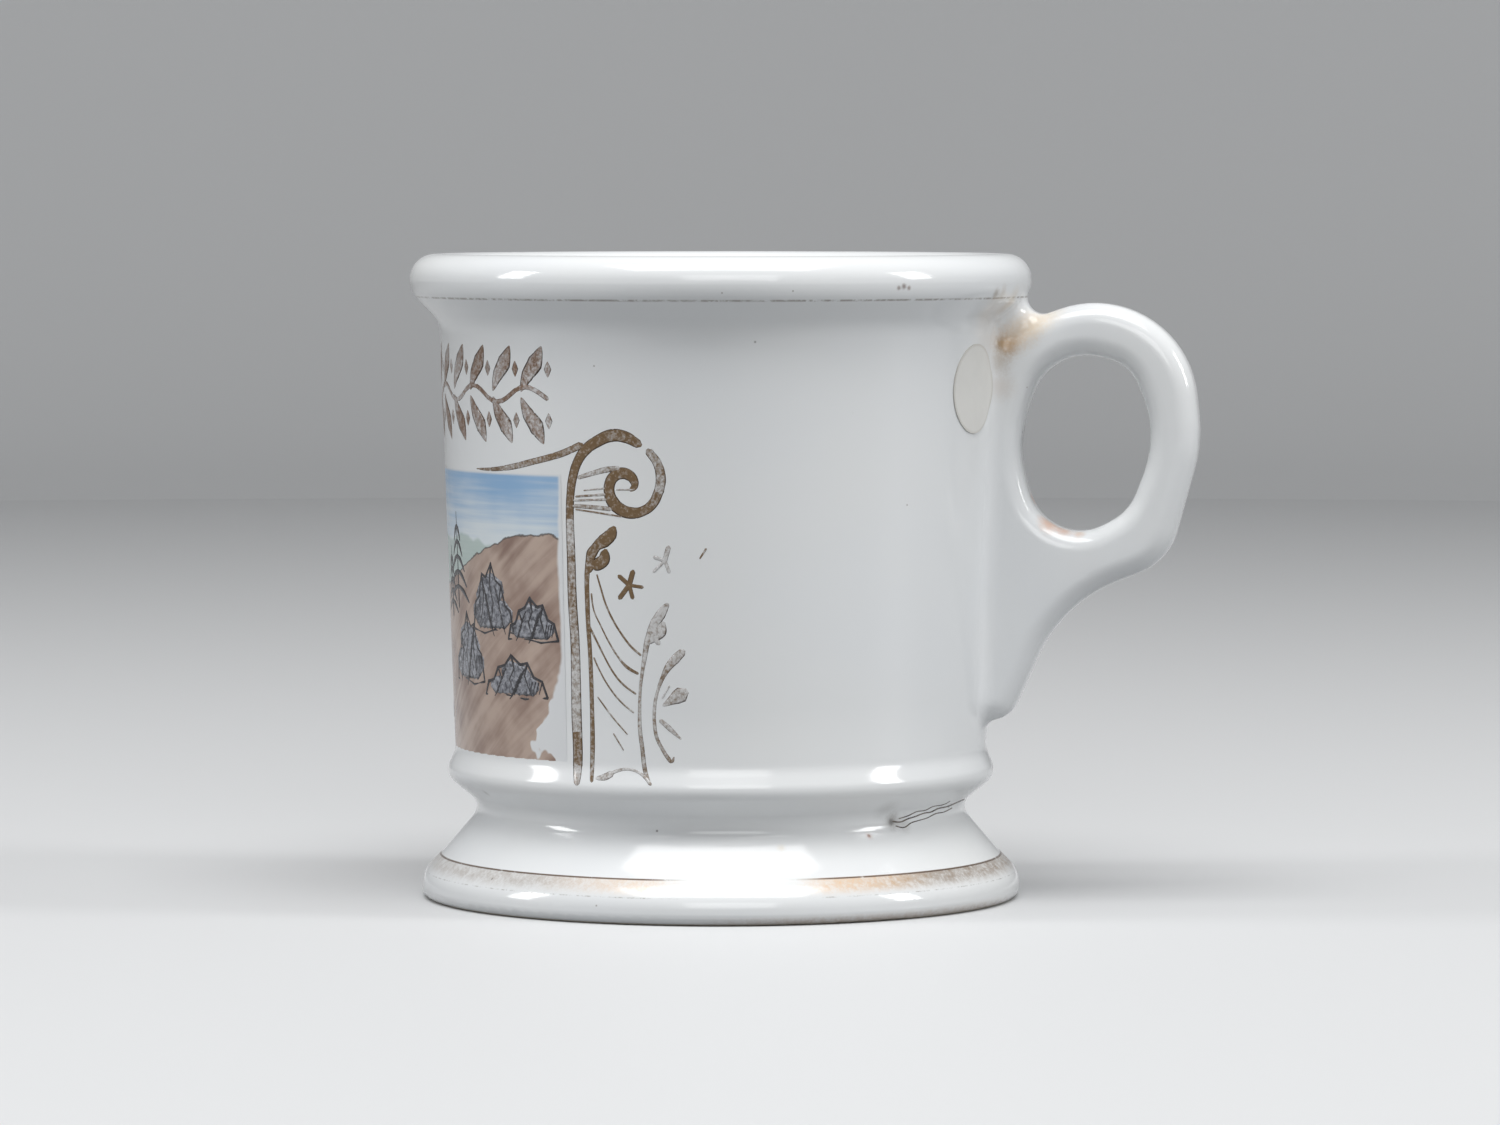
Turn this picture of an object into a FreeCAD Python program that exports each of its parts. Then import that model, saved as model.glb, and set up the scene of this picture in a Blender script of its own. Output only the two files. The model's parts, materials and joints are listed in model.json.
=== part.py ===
"""Shaving mug: a thick glazed porcelain mug with a ring handle, and a round paper label.

Millimetres. The origin is on the mug's axis at the table, +Z is up and the handle points along +X.
"""
import FreeCAD, Part
import math
import os

import Sketcher

Vector = FreeCAD.Vector

# How near a point has to lie to count as on an edge, on the wall or clear of a hidden end

ON_EDGE = 1e-4
ON_WALL = 0.02
END_SLACK = 0.1

# Driving dimensions, each written once

SIZES = {
    # outer wall, slightly wider at the top: widths are measured from it, heights from the table
    # upwards and from the top of the rim downwards
    "wall_radius": 38.3,
    "wall_flare": 2.2,
    "overall_height": 92.65,
    # foot, from the table up to its sharp ledge
    "foot_overhang": 4.85,
    "foot_edge": 1.4,
    "foot_side": 2.1,
    "foot_roll": 4.2,
    "ledge_width": 2.65,
    "ledge_rise": 2.7,
    "step_width": 0.4,
    "step_rise": 0.3,
    # waist and bead between the foot and the wall
    "waist_inset": 4.0,
    "waist_rise": 6.8,
    "waist_hollow": 2.3,
    "bead_proud": 1.6,
    "bead_rise": 4.5,
    "bead_roll": 2.2,
    "bead_blend": 4.5,
    "wall_rise": 3.5,
    # rolled rim
    "rim_overhang": 4.25,
    "rim_roll": 3.65,
    "rim_side": 1.8,
    "rim_flat": 0.35,
    "rim_under_drop": 4.3,
    "rim_under_roll": 3.6,
    "rim_hollow": 4.1,
    # inside of the cup and the hollow under its floor
    "wall_thickness": 3.65,
    "floor_thickness": 5.0,
    "inner_corner": 6.0,
    "hollow_height": 7.0,
    "foot_ring_width": 2.3,
    "hollow_flare": 7.3,
    # finger hole, an upright oval: how far its middle lies from the wall and below the rim,
    # and how far its six corners lie from there
    "hole_reach": 14.9,
    "hole_down": 26.85,
    "hole_top_in": 5.1,
    "hole_top_in_rise": 14.0,
    "hole_top_in_bend": 8.2,
    "hole_top_out": 6.1,
    "hole_top_out_rise": 11.2,
    "hole_top_out_bend": 6.2,
    "hole_out": 10.5,
    "hole_out_rise": 1.4,
    "hole_out_bend": 15.7,
    "hole_low_out": 6.1,
    "hole_low_out_drop": 9.8,
    "hole_low_out_bend": 7.5,
    "hole_low_in": 5.9,
    "hole_low_in_drop": 16.2,
    "hole_low_in_bend": 7.5,
    "hole_in": 10.2,
    "hole_in_rise": 0.3,
    "hole_in_bend": 18.4,
    # side view of the handle: its corners lie this far outside the hole and the wall
    "notch_down": 12.65,
    "root_depth": 1.2,
    "shoulder_out": 4.8,
    "shoulder_rise": 3.4,
    "shoulder_bend": 16.0,
    "crown_ahead": 13.7,
    "crown_width": 11.4,
    "crown_bend": 14.7,
    "back_width": 5.9,
    "back_rise": 0.1,
    "back_bend": 18.8,
    "knuckle_width": 5.6,
    "knuckle_under": 7.2,
    "knuckle_bend": 8.8,
    "arm_behind": 3.5,
    "arm_width": 6.6,
    "arm_bend": 21.5,
    "tail_out": 4.1,
    "tail_rise": 5.3,
    "tail_bend": 3.8,
    "tail_drop": 1.5,
    # thickness of the handle across, and its roundings
    "handle_half": 4.0,
    "handle_edge": 3.0,
    "root_blend": 2.5,
    # tongue of clay that ties the handle's root to the underside of the rim
    "tongue_radius": 28.5,
    "tongue_sweep": 52.0,
    "tongue_down": 18.65,
    "tongue_proud": 0.5,
    "tongue_hollow": 3.0,
    "tongue_tip_inset": 0.45,
    "tongue_tip_drop": 1.15,
    "tongue_tip_roll": 0.6,
    "tongue_lap": 1.25,
    "tongue_crest": 0.7,
    # round paper label on the wall beside the handle
    "label_width": 12.7,
    "label_thickness": 0.15,
    "label_down": 18.95,
    "label_turn": -16.2,
}

# Radii and levels that several outlines share, as sums of sizes

WALL_HEAD = "wall_radius + wall_flare"
RIM = WALL_HEAD + " + rim_overhang"
FOOT = "wall_radius + foot_overhang"
ROOT = WALL_HEAD + " - root_depth"
HOLE_MIDDLE = "wall_radius + hole_reach"
FOOT_SIDE = "foot_edge + foot_side"
LEDGE = FOOT_SIDE + " + ledge_rise"
WAIST = LEDGE + " + step_rise + waist_rise"
BEAD = WAIST + " + bead_rise"
WALL_FOOT = BEAD + " + wall_rise"
RIM_LOW = "overall_height - rim_roll - rim_side"
WALL_TOP = RIM_LOW + " - rim_under_drop"
NOTCH = "overall_height - notch_down"
HOLE_LEVEL = "overall_height - hole_down"
TAIL = WALL_FOOT + " + tail_rise"

doc = FreeCAD.newDocument("shaving_mug")

sheet = doc.addObject("Spreadsheet::Sheet", "sizes")
for row, (alias, size) in enumerate(SIZES.items(), start=1):
    sheet.set(f"A{row}", alias.replace("_", " "))
    sheet.set(f"B{row}", str(size))
    sheet.setAlias(f"B{row}", alias)
doc.recompute()


def amount(text):
    """Turn a sum such as "a + b - c" of sizes into its number and its expression."""
    number = 0.0
    words = []
    sign = 1.0
    for word in text.split():
        if word in ("+", "-"):
            sign = -1.0 if word == "-" else 1.0
            words.append(word)
        else:
            number += sign * float(sheet.get(word))
            words.append(f"sizes.{word}")
    return number, " ".join(words)


def number_of(text):
    """The number of a sum of sizes."""
    return amount(text)[0]


# Sketch helpers

def sketch_on(body, role, name):
    """A sketch on one of the body's own origin planes."""
    sketch = body.newObject("Sketcher::SketchObject", name)
    plane = next(item for item in body.Origin.OriginFeatures if item.Role == role)
    sketch.AttachmentSupport = [(plane, "")]
    sketch.MapMode = "FlatFace"
    return sketch


def size_constraint(sketch, name, kind, places, text):
    """Add a named distance or radius and tie it to the sheet."""
    number, formula = amount(text)
    constraint = Sketcher.Constraint(kind, *places, number)
    constraint.Name = name
    sketch.addConstraint(constraint)
    sketch.setExpression(f"Constraints.{name}", formula)


def fix_corner(sketch, name, point, across, up):
    """Tie a corner point to the two axes of its sketch; "axis" lays it on that axis."""
    if across == "axis":
        sketch.addConstraint(Sketcher.Constraint("PointOnObject", point, 1, -2))
    elif across.startswith("- "):
        left = across.replace("- ", "+ ")
        size_constraint(sketch, f"{name}_across", "DistanceX", (point, 1, -1, 1), left)
    else:
        size_constraint(sketch, f"{name}_across", "DistanceX", (-1, 1, point, 1), across)
    if up == "axis":
        sketch.addConstraint(Sketcher.Constraint("PointOnObject", point, 1, -1))
    else:
        size_constraint(sketch, f"{name}_up", "DistanceY", (-1, 1, point, 1), up)


def rounded_outline(sketch, corners):
    """Draw a closed outline of straight sides, with a tangent arc at each rounded corner.

    Each corner is (name, across, up, radius); a radius of None leaves it sharp.
    """
    count = len(corners)
    spots = []
    for name, across, up, radius in corners:
        across_value = 0.0 if across == "axis" else number_of(across)
        up_value = 0.0 if up == "axis" else number_of(up)
        spots.append(Vector(across_value, up_value, 0))
    arcs = []
    for index, (name, across, up, radius) in enumerate(corners):
        spot = spots[index]
        back = (spots[index - 1] - spot).normalize()
        ahead = (spots[(index + 1) % count] - spot).normalize()
        if radius is None:
            arcs.append((spot, spot, None, None))
            continue
        bend = number_of(radius)
        half_angle = back.getAngle(ahead) / 2
        run = bend / math.tan(half_angle)
        centre = spot + (back + ahead).normalize() * (bend / math.sin(half_angle))
        start = spot + back * run
        end = spot + ahead * run
        turns_left = (back * -1).cross(ahead).z > 0
        arcs.append((start, end, centre, turns_left))
    lines = []
    for index in range(count):
        begin = arcs[index][1]
        finish = arcs[(index + 1) % count][0]
        lines.append(sketch.addGeometry(Part.LineSegment(begin, finish), False))
    for index, (name, across, up, radius) in enumerate(corners):
        line_in = lines[index - 1]
        line_out = lines[index]
        start, end, centre, turns_left = arcs[index]
        point = sketch.addGeometry(Part.Point(spots[index]), True)
        if centre is None:
            sketch.addConstraint(Sketcher.Constraint("Coincident", line_in, 2, point, 1))
            sketch.addConstraint(Sketcher.Constraint("Coincident", line_out, 1, point, 1))
        else:
            first, last = (start, end) if turns_left else (end, start)
            circle = Part.Circle(centre, Vector(0, 0, 1), (start - centre).Length)
            arc = sketch.addGeometry(
                Part.ArcOfCircle(circle, circle.parameter(first), circle.parameter(last)), False)
            near, far = (1, 2) if turns_left else (2, 1)
            sketch.addConstraint(Sketcher.Constraint("Tangent", line_in, 2, arc, near))
            sketch.addConstraint(Sketcher.Constraint("Tangent", line_out, 1, arc, far))
            sketch.addConstraint(Sketcher.Constraint("PointOnObject", point, 1, line_in))
            sketch.addConstraint(Sketcher.Constraint("PointOnObject", point, 1, line_out))
            size_constraint(sketch, f"{name}_bend", "Radius", (arc,), radius)
        fix_corner(sketch, name, point, across, up)
    sketch.Visibility = False


def middle(edge):
    """The point halfway along an edge."""
    return edge.valueAt((edge.FirstParameter + edge.LastParameter) / 2)


def edge_names(shape, wanted):
    """Names of the edges whose middle point passes the test."""
    return [f"Edge{number}" for number, edge in enumerate(shape.Edges, start=1)
            if wanted(middle(edge))]


def between(level, low_level, low_value, high_level, high_value):
    """The value at a level on the straight line through two levels and their values."""
    share = (level - low_level) / (high_level - low_level)
    return low_value + share * (high_value - low_value)


def outer_wall(level):
    """Radius of the plain outer wall at a height."""
    return between(level, number_of(WALL_FOOT), number_of("wall_radius"),
                   number_of(WALL_TOP), number_of(WALL_HEAD))


# Mug, one piece of porcelain: the handle is moulded first and the cup is then added to it

mug = doc.addObject("PartDesign::Body", "mug")
mug.Label = "mug"

# Handle blank: its side view, padded both ways from the middle plane

handle_outline = sketch_on(mug, "XZ_Plane", "handle_outline")
rounded_outline(handle_outline, [
    ("root_top", ROOT, NOTCH, None),
    ("shoulder", WALL_HEAD + " + shoulder_out", NOTCH + " + shoulder_rise", "shoulder_bend"),
    ("crown", HOLE_MIDDLE + " + crown_ahead",
     HOLE_LEVEL + " + hole_top_in_rise + crown_width", "crown_bend"),
    ("back", HOLE_MIDDLE + " + hole_out + back_width", HOLE_LEVEL + " + back_rise", "back_bend"),
    ("knuckle", HOLE_MIDDLE + " + hole_low_out + knuckle_width",
     HOLE_LEVEL + " - hole_low_out_drop - knuckle_under", "knuckle_bend"),
    ("arm", HOLE_MIDDLE + " - arm_behind",
     HOLE_LEVEL + " - hole_low_in_drop - arm_width", "arm_bend"),
    ("tail", "wall_radius + tail_out", TAIL, "tail_bend"),
    ("root_foot", "wall_radius - root_depth", TAIL + " - tail_drop", None),
])
handle_blank = mug.newObject("PartDesign::Pad", "handle_blank")
handle_blank.Profile = handle_outline
handle_blank.SideType = "Symmetric"
handle_blank.setExpression("Length", "2 * sizes.handle_half")

# Finger hole, an upright oval of six arcs

hole_outline = sketch_on(mug, "XZ_Plane", "hole_outline")
rounded_outline(hole_outline, [
    ("top_in", HOLE_MIDDLE + " - hole_top_in", HOLE_LEVEL + " + hole_top_in_rise",
     "hole_top_in_bend"),
    ("top_out", HOLE_MIDDLE + " + hole_top_out", HOLE_LEVEL + " + hole_top_out_rise",
     "hole_top_out_bend"),
    ("out", HOLE_MIDDLE + " + hole_out", HOLE_LEVEL + " + hole_out_rise", "hole_out_bend"),
    ("low_out", HOLE_MIDDLE + " + hole_low_out", HOLE_LEVEL + " - hole_low_out_drop",
     "hole_low_out_bend"),
    ("low_in", HOLE_MIDDLE + " - hole_low_in", HOLE_LEVEL + " - hole_low_in_drop",
     "hole_low_in_bend"),
    ("in", HOLE_MIDDLE + " - hole_in", HOLE_LEVEL + " + hole_in_rise", "hole_in_bend"),
])
finger_hole = mug.newObject("PartDesign::Pocket", "finger_hole")
finger_hole.Profile = hole_outline
finger_hole.Type = "ThroughAll"
finger_hole.SideType = "Symmetric"
doc.recompute()

# Rounded edges make the ring's section nearly round


def on_side_face(point):
    """True on the edges of the two side faces, apart from the hidden ends in the wall."""
    off_side = abs(abs(point.y) - number_of("handle_half"))
    hidden = outer_wall(point.z) - number_of("root_depth") + END_SLACK
    return off_side < ON_EDGE and point.x > hidden


handle_rounding = mug.newObject("PartDesign::Fillet", "handle_rounding")
handle_rounding.Base = (finger_hole, edge_names(finger_hole.Shape, on_side_face))
handle_rounding.setExpression("Radius", "sizes.handle_edge")
doc.recompute()

# Cup: its whole section, turned about the axis

cup_section = sketch_on(mug, "YZ_Plane", "cup_section")
rounded_outline(cup_section, [
    ("hollow_middle", "axis", "hollow_height", None),
    ("hollow_corner", FOOT + " - foot_ring_width - hollow_flare", "hollow_height", None),
    ("ring_inside", FOOT + " - foot_ring_width", "axis", None),
    ("ring_outside", FOOT, "axis", "foot_edge"),
    ("foot_side", FOOT, FOOT_SIDE, "foot_roll"),
    ("ledge_low", FOOT + " - ledge_width", LEDGE, None),
    ("ledge_high", FOOT + " - ledge_width - step_width", LEDGE + " + step_rise", None),
    ("waist", "wall_radius - waist_inset", WAIST, "waist_hollow"),
    ("bead", "wall_radius + bead_proud", BEAD, "bead_roll"),
    ("wall_foot", "wall_radius", WALL_FOOT, "bead_blend"),
    ("wall_head", WALL_HEAD, WALL_TOP, "rim_hollow"),
    ("rim_under", RIM, RIM_LOW, "rim_under_roll"),
    ("rim_top", RIM, "overall_height", "rim_roll"),
    ("lip", WALL_HEAD + " - wall_thickness", "overall_height",
     "wall_thickness + rim_overhang - rim_roll - rim_flat"),
    ("inner_corner", "wall_radius - wall_thickness", "hollow_height + floor_thickness",
     "inner_corner"),
    ("floor_middle", "axis", "hollow_height + floor_thickness", None),
])
cup = mug.newObject("PartDesign::Revolution", "cup")
cup.Profile = cup_section
cup.ReferenceAxis = (cup_section, ["V_Axis"])
cup.Angle = 360
doc.recompute()

# Root of the handle, blended into the wall


def on_root(point):
    """True on the edges where the handle meets the outer wall."""
    off_wall = abs(math.hypot(point.x, point.y) - outer_wall(point.z))
    beside = abs(point.y) < number_of("handle_half + root_blend") and point.x > 0
    return off_wall < ON_WALL and beside and point.z < number_of(WALL_TOP)


root_blending = mug.newObject("PartDesign::Fillet", "root_blending")
root_blending.Base = (cup, edge_names(cup.Shape, on_root))
root_blending.setExpression("Radius", "sizes.root_blend")
doc.recompute()

# Tongue under the rim: turned about a nearer axis, so that it fades into the wall on both sides

tongue_section = sketch_on(mug, "XZ_Plane", "tongue_section")
axis_x = number_of(WALL_HEAD + " - tongue_radius")
axis_line = tongue_section.addGeometry(
    Part.LineSegment(Vector(axis_x, 0, 0), Vector(axis_x, number_of("overall_height"), 0)), True)
tongue_section.addConstraint(Sketcher.Constraint("Vertical", axis_line))
tongue_section.addConstraint(Sketcher.Constraint("PointOnObject", axis_line, 1, -1))
size_constraint(tongue_section, "axis_across", "DistanceX", (-1, 1, axis_line, 1),
                WALL_HEAD + " - tongue_radius")
size_constraint(tongue_section, "axis_tall", "DistanceY", (axis_line, 1, axis_line, 2),
                "overall_height")
rounded_outline(tongue_section, [
    ("foot", ROOT, "overall_height - tongue_down", None),
    ("hollow", WALL_HEAD + " + tongue_proud", WALL_TOP, "tongue_hollow"),
    ("tip", RIM + " - tongue_tip_inset", RIM_LOW + " - tongue_tip_drop", "tongue_tip_roll"),
    ("crest", RIM + " - tongue_lap", RIM_LOW + " + tongue_crest", None),
    ("core", ROOT, RIM_LOW + " + tongue_crest", None),
])
tongue = mug.newObject("PartDesign::Revolution", "tongue")
tongue.Profile = tongue_section
tongue.ReferenceAxis = (tongue_section, ["Axis0"])
tongue.setExpression("Angle", "sizes.tongue_sweep")
tongue.Midplane = True
doc.recompute()

# Paper label: a round plug of the wall is moved outwards by the paper's thickness, and what then
# stands proud of the glazed surface is the paper

turn = math.radians(number_of("label_turn"))
label_way = Vector(math.cos(turn), math.sin(turn), 0)
label_spot = label_way * number_of("wall_radius - wall_thickness")
label_spot.z = number_of("overall_height - label_down")
punch = Part.makeCylinder(number_of("label_width") / 2, number_of("wall_thickness + bead_blend"),
                          label_spot, label_way)
plug = mug.Shape.common(punch)
plug.translate(label_way * number_of("label_thickness"))
paper_label = doc.addObject("Part::Feature", "paper_label")
paper_label.Label = "paper_label"
paper_label.Shape = plug.cut(mug.Shape).Solids[0]
paper_label.Placement = FreeCAD.Placement(Vector(0, 0, 0), FreeCAD.Rotation())
doc.recompute()

# Checks, then one STEP file for each piece

pieces = [mug, paper_label]
for item in doc.Objects:
    if "Invalid" in item.State or "Error" in item.State:
        raise RuntimeError(f"{item.Name} did not build: {item.State}")
for piece in pieces:
    if piece.Shape.isNull() or not piece.Shape.isValid() or len(piece.Shape.Solids) != 1:
        raise RuntimeError(f"{piece.Label} is not one sound solid")
if paper_label.Shape.common(mug.Shape).Volume > 0.01:
    raise RuntimeError("the label cuts into the mug")

os.makedirs("parts", exist_ok=True)
for piece in pieces:
    piece.Shape.exportStep(f"parts/{piece.Label}.step")
    box = piece.Shape.BoundBox
    print(f"{piece.Label}: {piece.Shape.Volume / 1000:.3f} cm3, {len(piece.Shape.Faces)} faces,"
          f" {box.XLength:.2f} x {box.YLength:.2f} x {box.ZLength:.2f} mm")
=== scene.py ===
# %% [markdown]
# # A worn porcelain shaving mug
# The part is a thick glazed mug with a ring handle. Its solids are already made, in metres, with the
# origin on the mug's axis at the table, +Z up and the handle along +X. This lesson gives the solids
# their finish: glaze, old gilding, a painted panel, a paper label and a hundred years of wear.
# The frame is loaded first, and a finish must not change its size.

import json
import math

import bpy
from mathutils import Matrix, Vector
from mathutils.bvhtree import BVHTree
from mathutils.kdtree import KDTree

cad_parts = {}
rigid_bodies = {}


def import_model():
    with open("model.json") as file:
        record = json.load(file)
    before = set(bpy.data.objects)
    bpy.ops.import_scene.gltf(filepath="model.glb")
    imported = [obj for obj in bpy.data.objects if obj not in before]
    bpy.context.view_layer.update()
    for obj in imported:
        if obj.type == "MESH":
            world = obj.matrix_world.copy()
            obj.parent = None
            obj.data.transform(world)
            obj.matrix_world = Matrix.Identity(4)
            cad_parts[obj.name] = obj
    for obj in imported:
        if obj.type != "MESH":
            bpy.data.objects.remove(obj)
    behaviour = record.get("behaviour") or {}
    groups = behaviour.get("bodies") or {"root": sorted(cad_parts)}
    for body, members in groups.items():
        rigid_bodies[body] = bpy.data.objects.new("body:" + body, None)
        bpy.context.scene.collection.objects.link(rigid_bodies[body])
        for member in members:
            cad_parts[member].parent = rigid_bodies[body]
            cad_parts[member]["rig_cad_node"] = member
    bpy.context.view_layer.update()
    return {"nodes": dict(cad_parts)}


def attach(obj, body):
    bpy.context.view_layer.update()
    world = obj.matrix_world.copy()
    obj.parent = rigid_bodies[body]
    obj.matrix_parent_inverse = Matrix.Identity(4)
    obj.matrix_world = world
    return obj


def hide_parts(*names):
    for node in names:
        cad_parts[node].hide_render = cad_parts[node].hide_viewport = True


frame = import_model()
MM = 0.001

# %% [markdown]
# ## Camera
# The photograph was taken from almost a metre away with a long lens, a little above the mug's rim,
# so the sides stay nearly upright and the mouth closes to a thin ellipse. The camera looks level
# except for a slight tilt down. The handle is turned ten degrees away from a true side view.
# Places round the mug are counted in degrees to the right of the side that faces the camera.

# %% Camera
PHOTO_WIDE = 1500
PHOTO_HIGH = 1125
HANDLE_TURN = 80.0
CAMERA_DISTANCE = 0.95
CAMERA_HEIGHT = 0.1012
CAMERA_SLIDE = 0.00421
CAMERA_TILT = 3.2
FOCAL_PIXELS = 6589.2
SENSOR_WIDTH = 36.0


def around(angle, radius, height=0.0):
    """A point at an angle round the mug, a radius from its axis and a height over the table."""
    turn = math.radians(angle - HANDLE_TURN)
    return Vector((radius * math.cos(turn), radius * math.sin(turn), height))


def choose(*items):
    """Select only these objects, so that an operator touches nothing else."""
    for other in bpy.context.view_layer.objects:
        other.select_set(False)
    for item in items:
        item.select_set(True)
    bpy.context.view_layer.objects.active = items[0] if items else None


choose()
bpy.ops.object.camera_add(
    location=around(0.0, CAMERA_DISTANCE, CAMERA_HEIGHT) + around(90.0, CAMERA_SLIDE),
    rotation=(math.radians(90.0 - CAMERA_TILT), 0.0, math.radians(90.0 - HANDLE_TURN)))
camera = bpy.context.object
camera.name = "photo_camera"
camera.data.sensor_width = SENSOR_WIDTH
camera.data.lens = FOCAL_PIXELS / PHOTO_WIDE * SENSOR_WIDTH
camera.data.clip_start = 0.05
camera.data.clip_end = 20.0
bpy.context.scene.camera = camera
print("lens", round(camera.data.lens, 1), "mm at", [round(x, 3) for x in camera.location])

# %% [markdown]
# ## Colours and nodes
# Colours are written as the hex values that a paint chip would carry, and one function turns them
# to the linear values that the renderer works with. One more small function adds a node with its
# settings and links, so a material reads from top to bottom like a recipe. The settings that come
# back most have a name.

# %% Colour and node helpers
RGBA = {"data_type": "RGBA"}
SMOOTH = {"interpolation_type": "SMOOTHSTEP"}
MULTIPLY = {"operation": "MULTIPLY"}
MULTIPLY_ADD = {"operation": "MULTIPLY_ADD"}


def paint(code):
    """Linear colour with alpha from an sRGB hex code."""
    shares = [int(code[i:i + 2], 16) / 255 for i in (1, 3, 5)]
    linear = [s / 12.92 if s <= 0.04045 else ((s + 0.055) / 1.055) ** 2.4 for s in shares]
    return (*linear, 1.0)


def node(tree, kind, settings=None, **inputs):
    """Add a shader node. An input named _0 is a place in the list, any other a socket's name."""
    made = tree.nodes.new("ShaderNode" + kind)
    for name, value in (settings or {}).items():
        setattr(made, name, value)
    for name, value in inputs.items():
        if name[0] == "_":
            socket = made.inputs[int(name[1:])]
        else:
            socket = next(s for s in made.inputs if s.enabled and s.name == name.replace("_", " "))
        if isinstance(value, bpy.types.Node):
            value = next(s for s in value.outputs if s.enabled)
        if isinstance(value, bpy.types.NodeSocket):
            tree.links.new(value, socket)
        else:
            socket.default_value = value
    return made


def new_tree(name):
    """An empty node material and its tree."""
    material = bpy.data.materials.new(name)
    material.use_nodes = True
    material.node_tree.nodes.clear()
    return material, material.node_tree


def object_mm(tree):
    """The part's own coordinates in millimetres."""
    place = node(tree, "TexCoord")
    return node(tree, "VectorMath", {"operation": "SCALE"}, _0=place.outputs["Object"], Scale=1 / MM)


def dress(piece, material):
    """Give a piece this material and no other."""
    piece.data.materials.clear()
    piece.data.materials.append(material)


# %% [markdown]
# ## Floor and backdrop
# A plain pale table runs up all round into a pale wall, like the paper sweep of a small studio. It
# is a disc, and a ring that is extruded step by step along a quarter circle, so no corner shows.
# It is staging and no part of the mug. The camera and the glaze see it pale. To scattered light it
# is greyer, as a darker table would be, so that the undersides of the rim and waist keep their shade.

# %% Floor and backdrop
FLOOR_RADIUS = 1.25
SWEEP_RADIUS = 0.45
SWEEP_STEPS = 10
SWEEP_WALL = 0.55
STUDIO_SIDES = 96

choose()
bpy.ops.mesh.primitive_circle_add(vertices=STUDIO_SIDES, radius=FLOOR_RADIUS, fill_type="NGON")
floor = bpy.context.object
floor.name = "studio_floor"

choose()
bpy.ops.mesh.primitive_circle_add(vertices=STUDIO_SIDES, radius=FLOOR_RADIUS, fill_type="NOTHING")
sweep = bpy.context.object
sweep.name = "studio_sweep"
bpy.ops.object.mode_set(mode="EDIT")
bpy.ops.mesh.select_all(action="SELECT")
reach, rise = FLOOR_RADIUS, 0.0
for step in range(1, SWEEP_STEPS + 2):
    bend = math.pi / 2 * min(step, SWEEP_STEPS) / SWEEP_STEPS
    new_reach = FLOOR_RADIUS + SWEEP_RADIUS * math.sin(bend)
    new_rise = SWEEP_RADIUS * (1 - math.cos(bend)) + (SWEEP_WALL if step > SWEEP_STEPS else 0.0)
    bpy.ops.mesh.extrude_region_move(
        TRANSFORM_OT_translate={"value": (0.0, 0.0, new_rise - rise)})
    growth = new_reach / reach
    bpy.ops.transform.resize(value=(growth, growth, 1.0), center_override=(0.0, 0.0, new_rise))
    reach, rise = new_reach, new_rise
bpy.ops.mesh.select_all(action="SELECT")
bpy.ops.mesh.normals_make_consistent(inside=True)
bpy.ops.object.mode_set(mode="OBJECT")
bpy.ops.object.shade_smooth()

table_paper, tree = new_tree("matt pale studio paper")
ray = node(tree, "LightPath")
seen = node(tree, "Math", {"operation": "MAXIMUM"}, _0=ray.outputs["Is Camera Ray"],
            _1=ray.outputs["Is Glossy Ray"])
shade = node(tree, "Mix", RGBA, Factor=seen, A=paint("#7E8082"), B=paint("#DADBDC"))
paper_grain = node(tree, "TexNoise", Scale=700.0, Detail=4.0)
paper_bump = node(tree, "Bump", Strength=0.05, Distance=0.0003, Height=paper_grain)
paper_shader = node(tree, "BsdfPrincipled", Base_Color=shade, Roughness=0.55, Normal=paper_bump)
node(tree, "OutputMaterial", Surface=paper_shader)
for part in (floor, sweep):
    dress(part, table_paper)
print("studio sweep rises to", round(rise, 2), "m")

# %% [markdown]
# ## Light
# Glaze mirrors each lamp as a clean bright shape. In the photograph the bright spots on the waist lie
# some forty-five degrees left and right of the middle, so two soft panels stand nearly square to the
# camera's view on either side. The main one hangs overhead and makes the rim, bead and foot shine
# while the wall under the rim falls into shade. A weak one over the camera and the pale room fill in.

# %% Light
LAMP_AIM = Vector((0.0, 0.0, 0.045))
PANELS = {
    # name: angle, radius, height, width, length, watts
    "left_panel": (-84.0, 1.20, 0.58, 0.26, 0.52, 4.6),
    "right_panel": (78.0, 1.20, 0.58, 0.26, 0.52, 5.2),
    "top_panel": (0.0, 0.40, 1.27, 1.20, 0.70, 14.8),
    "front_panel": (4.0, 1.25, 0.62, 0.80, 0.50, 3.2),
}
for name, (angle, radius, height, wide, tall, watts) in PANELS.items():
    choose()
    place = around(angle, radius, height)
    bpy.ops.object.light_add(type="AREA", location=place)
    lamp = bpy.context.object
    lamp.name = name
    lamp.data.shape = "RECTANGLE"
    lamp.data.size = wide
    lamp.data.size_y = tall
    lamp.data.energy = watts
    lamp.rotation_euler = (LAMP_AIM - place).to_track_quat("-Z", "Y").to_euler()

world = bpy.data.worlds.new("pale room")
bpy.context.scene.world = world
world.use_nodes = True
world.node_tree.nodes.clear()
room = node(world.node_tree, "Background", Color=paint("#EDEFF1"), Strength=0.22)
node(world.node_tree, "OutputWorld", Surface=room)
bpy.context.scene.view_settings.view_transform = "Standard"

# %% [markdown]
# ## The wall as a canvas
# The decoration lies on the plain wall between the rim and the bead. A pattern is drawn flat, in two
# ways. What the photograph shows is drawn in its own pixels and thrown on the mug along the camera's
# rays, as by a slide projector, so it lands where it was. What the photograph hides is drawn on a
# chart in millimetres, along the wall and up from the table. Both find the real surface by casting a
# ray at the solid, so a line that runs down over the bead follows it.

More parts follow.
